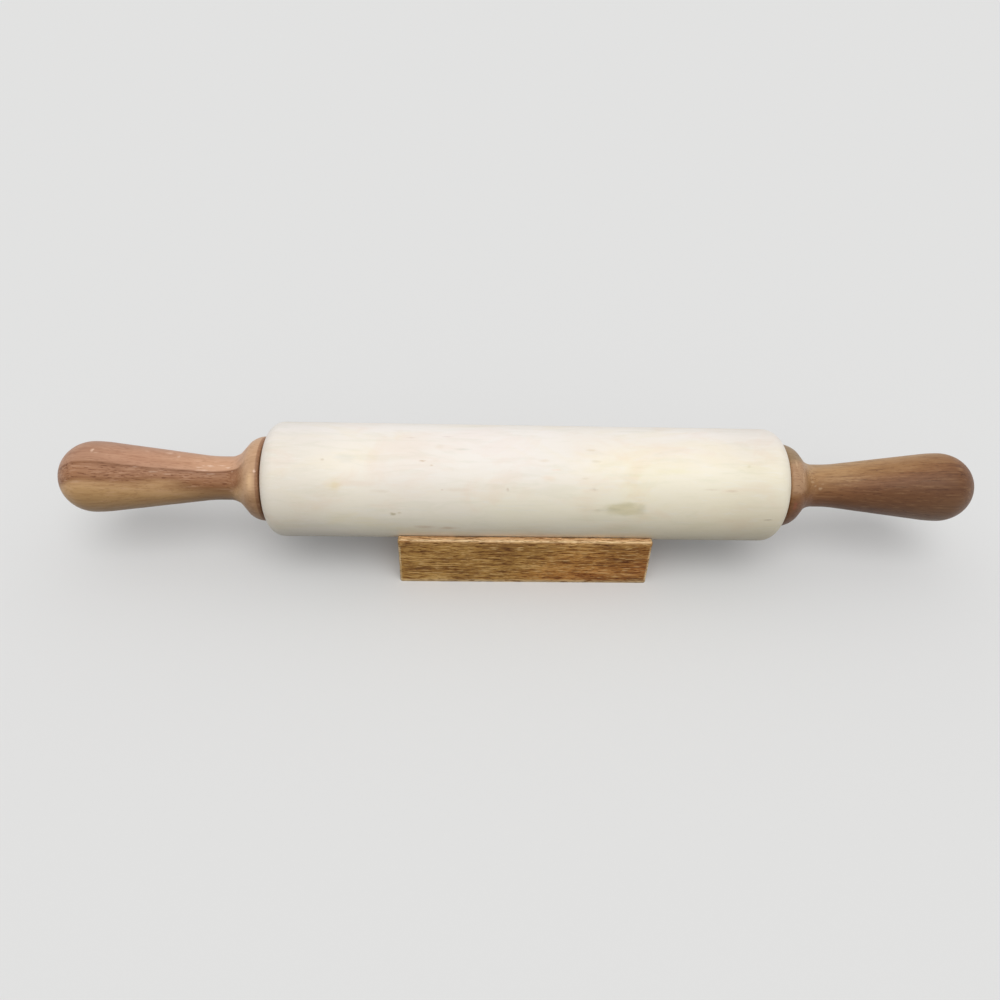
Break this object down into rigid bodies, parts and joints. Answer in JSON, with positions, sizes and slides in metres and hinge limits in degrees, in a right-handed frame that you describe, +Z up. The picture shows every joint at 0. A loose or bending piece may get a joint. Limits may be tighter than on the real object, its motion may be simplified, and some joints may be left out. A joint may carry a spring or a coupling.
{
  "type": "marble rolling pin",
  "caption": "Marble rolling pin with turned wooden handles on a steel axle, lying in a wooden cradle with a round seat.",
  "frame": {"origin": "middle of the cradle's flat underside, on the surface that the object stands on, under the middle of the barrel", "axes": "+X along the pin to the right as seen from the front, +Y from the front of the cradle to its back, +Z up"},
  "size_m": [0.4592, 0.0586, 0.0712],
  "materials": {
    "cradle_wood": "open-pored golden brown hardwood, thin satin varnish",
    "marble": "honed creamy white marble with faint clouding",
    "rod_steel": "ground bright steel",
    "bush_nylon": "natural white nylon",
    "washer_steel": "bright pressed steel",
    "insert_brass": "turned brass",
    "left_handle_wood": "turned hardwood, satin lacquer, pinkish brown",
    "right_handle_wood": "turned hardwood, satin lacquer, medium brown"
  },
  "bodies": {
    "cradle": {"cradle_block": "cradle_wood"},
    "barrel": {"marble_barrel": "marble", "left_bush": "bush_nylon", "right_bush": "bush_nylon"},
    "grips": {"axle_rod": "rod_steel", "left_thrust_washer": "washer_steel", "right_thrust_washer": "washer_steel", "left_threaded_insert": "insert_brass", "right_threaded_insert": "insert_brass", "left_handle": "left_handle_wood", "right_handle": "right_handle_wood"}
  },
  "joints": [
    {"name": "pin_lift", "type": "slide", "parent": "cradle", "child": "barrel", "axis": [0, 0, 1], "range_m": [0, 0.06]},
    {"name": "handle_spin", "type": "hinge", "parent": "barrel", "child": "grips", "pos_m": [0, 0, 0.0426], "axis": [1, 0, 0], "continuous": true}
  ]
}
